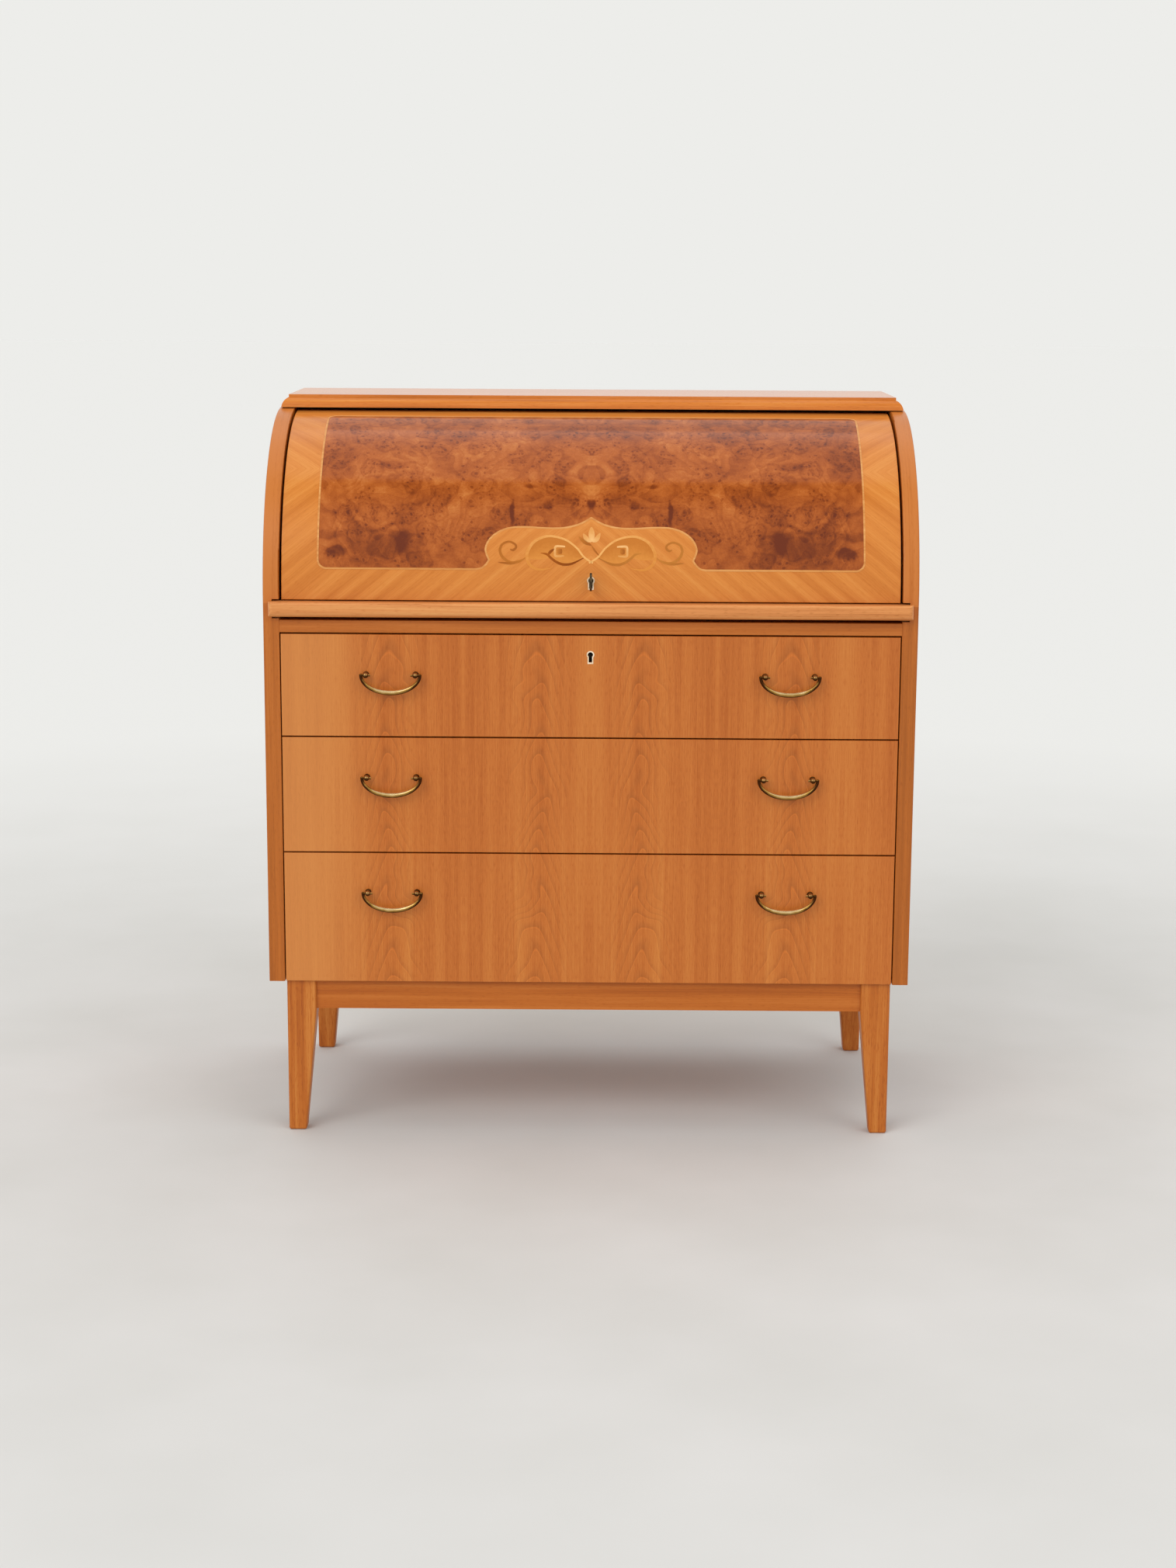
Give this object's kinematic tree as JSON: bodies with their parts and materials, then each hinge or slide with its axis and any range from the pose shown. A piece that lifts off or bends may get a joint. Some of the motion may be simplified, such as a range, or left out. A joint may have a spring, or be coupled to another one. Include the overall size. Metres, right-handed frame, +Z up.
{
  "type": "cylinder front secretary desk",
  "caption": "Wooden secretary desk with a rigid curved cylinder front, a pull-out writing slab, full-width drawers with drop bail handles and a low base on tapered legs.",
  "frame": {"origin": "on the floor, in the middle of the desk's plan box", "axes": "+X to the right seen from the front, +Y to the back, +Z up"},
  "size_m": [0.9, 0.466, 1.03],
  "materials": {
    "case_veneer": "satin lacquered veneer",
    "drawer_veneer": "satin lacquered veneer",
    "cylinder_veneer": "satin lacquered veneer",
    "solid_hardwood": "satin lacquer",
    "drawer_lining": "planed, unvarnished",
    "plywood": "matt",
    "aged_brass": "aged, polished by hands",
    "pale_inlay": "pale bone-like inlay",
    "lock_steel": "dull"
  },
  "bodies": {
    "case": {"side_left": "case_veneer", "side_right": "case_veneer", "top_board": "case_veneer", "back_panel": "plywood", "bottom_board": "drawer_lining", "front_rail": "case_veneer", "dust_panel": "plywood", "slide_bearers": "drawer_lining", "drawer_runners": "drawer_lining", "leg_front_left": "solid_hardwood", "leg_front_right": "solid_hardwood", "leg_back_left": "solid_hardwood", "leg_back_right": "solid_hardwood", "apron_front": "solid_hardwood", "apron_back": "solid_hardwood", "side_aprons": "solid_hardwood", "corner_braces": "drawer_lining", "cylinder_pivot_pins": "aged_brass", "gallery_base": "case_veneer", "gallery_uprights": "case_veneer", "gallery_shelves": "case_veneer", "gallery_top": "case_veneer", "gallery_back": "plywood"},
    "slab": {"writing_slab": "case_veneer", "slab_lip": "solid_hardwood", "strike_plate": "aged_brass"},
    "cylinder": {"cylinder_shell": "cylinder_veneer", "cylinder_arm_left": "solid_hardwood", "cylinder_arm_right": "solid_hardwood", "cylinder_lock_case": "lock_steel", "cylinder_escutcheon": "pale_inlay"},
    "key": {"cylinder_key": "lock_steel"},
    "cylinder_bolt": {"cylinder_bolt": "lock_steel"},
    "drawer_bolt": {"drawer_1_bolt": "lock_steel"},
    "drawer_1": {"drawer_1_front": "drawer_veneer", "drawer_1_sides": "drawer_lining", "drawer_1_back": "drawer_lining", "drawer_1_bottom": "plywood", "drawer_1_posts": "aged_brass", "drawer_1_lock_case": "lock_steel", "drawer_1_escutcheon": "pale_inlay"},
    "bail_1_left": {"bail_1_left": "aged_brass"},
    "bail_1_right": {"bail_1_right": "aged_brass"},
    "drawer_2": {"drawer_2_front": "drawer_veneer", "drawer_2_sides": "drawer_lining", "drawer_2_back": "drawer_lining", "drawer_2_bottom": "plywood", "drawer_2_posts": "aged_brass"},
    "bail_2_left": {"bail_2_left": "aged_brass"},
    "bail_2_right": {"bail_2_right": "aged_brass"},
    "drawer_3": {"drawer_3_front": "drawer_veneer", "drawer_3_sides": "drawer_lining", "drawer_3_back": "drawer_lining", "drawer_3_bottom": "plywood", "drawer_3_posts": "aged_brass"},
    "bail_3_left": {"bail_3_left": "aged_brass"},
    "bail_3_right": {"bail_3_right": "aged_brass"},
    "small_drawer_left": {"small_drawer_left": "case_veneer"},
    "small_drawer_right": {"small_drawer_right": "case_veneer"}
  },
  "joints": [
    {"name": "slab_slide", "type": "slide", "parent": "case", "child": "slab", "axis": [0, -1, 0], "range_m": [0, 0.28]},
    {"name": "cylinder_turn", "type": "hinge", "parent": "case", "child": "cylinder", "pos_m": [0, -0.0025, 0.7958], "axis": [-1, 0, 0], "range_deg": [0, 88]},
    {"name": "key_turn", "type": "hinge", "parent": "cylinder", "child": "key", "pos_m": [0, -0.209, 0.79], "axis": [0, 1, 0], "range_deg": [0, 90]},
    {"name": "cylinder_bolt_throw", "type": "slide", "parent": "cylinder", "child": "cylinder_bolt", "axis": [0, 0, -1], "range_m": [0, 0.007]},
    {"name": "drawer_1_slide", "type": "slide", "parent": "case", "child": "drawer_1", "axis": [0, -1, 0], "range_m": [0, 0.33]},
    {"name": "bail_1_left_swing", "type": "hinge", "parent": "drawer_1", "child": "bail_1_left", "pos_m": [-0.275, -0.22, 0.6595], "axis": [-1, 0, 0], "range_deg": [0, 85]},
    {"name": "bail_1_right_swing", "type": "hinge", "parent": "drawer_1", "child": "bail_1_right", "pos_m": [0.275, -0.22, 0.6595], "axis": [-1, 0, 0], "range_deg": [0, 85]},
    {"name": "drawer_2_slide", "type": "slide", "parent": "case", "child": "drawer_2", "axis": [0, -1, 0], "range_m": [0, 0.33]},
    {"name": "bail_2_left_swing", "type": "hinge", "parent": "drawer_2", "child": "bail_2_left", "pos_m": [-0.275, -0.22, 0.5155], "axis": [-1, 0, 0], "range_deg": [0, 85]},
    {"name": "bail_2_right_swing", "type": "hinge", "parent": "drawer_2", "child": "bail_2_right", "pos_m": [0.275, -0.22, 0.5155], "axis": [-1, 0, 0], "range_deg": [0, 85]},
    {"name": "drawer_3_slide", "type": "slide", "parent": "case", "child": "drawer_3", "axis": [0, -1, 0], "range_m": [0, 0.33]},
    {"name": "bail_3_left_swing", "type": "hinge", "parent": "drawer_3", "child": "bail_3_left", "pos_m": [-0.275, -0.22, 0.3515], "axis": [-1, 0, 0], "range_deg": [0, 85]},
    {"name": "bail_3_right_swing", "type": "hinge", "parent": "drawer_3", "child": "bail_3_right", "pos_m": [0.275, -0.22, 0.3515], "axis": [-1, 0, 0], "range_deg": [0, 85]},
    {"name": "drawer_bolt_throw", "type": "slide", "parent": "drawer_1", "child": "drawer_bolt", "axis": [0, 0, 1], "range_m": [0, 0.007]},
    {"name": "small_drawer_left_slide", "type": "slide", "parent": "case", "child": "small_drawer_left", "axis": [0, -1, 0], "range_m": [0, 0.105]},
    {"name": "small_drawer_right_slide", "type": "slide", "parent": "case", "child": "small_drawer_right", "axis": [0, -1, 0], "range_m": [0, 0.105]}
  ],
  "couplings": [
    {"joint": "cylinder_bolt_throw", "follows": "key_turn", "m_per_rad": 0.004455}
  ]
}
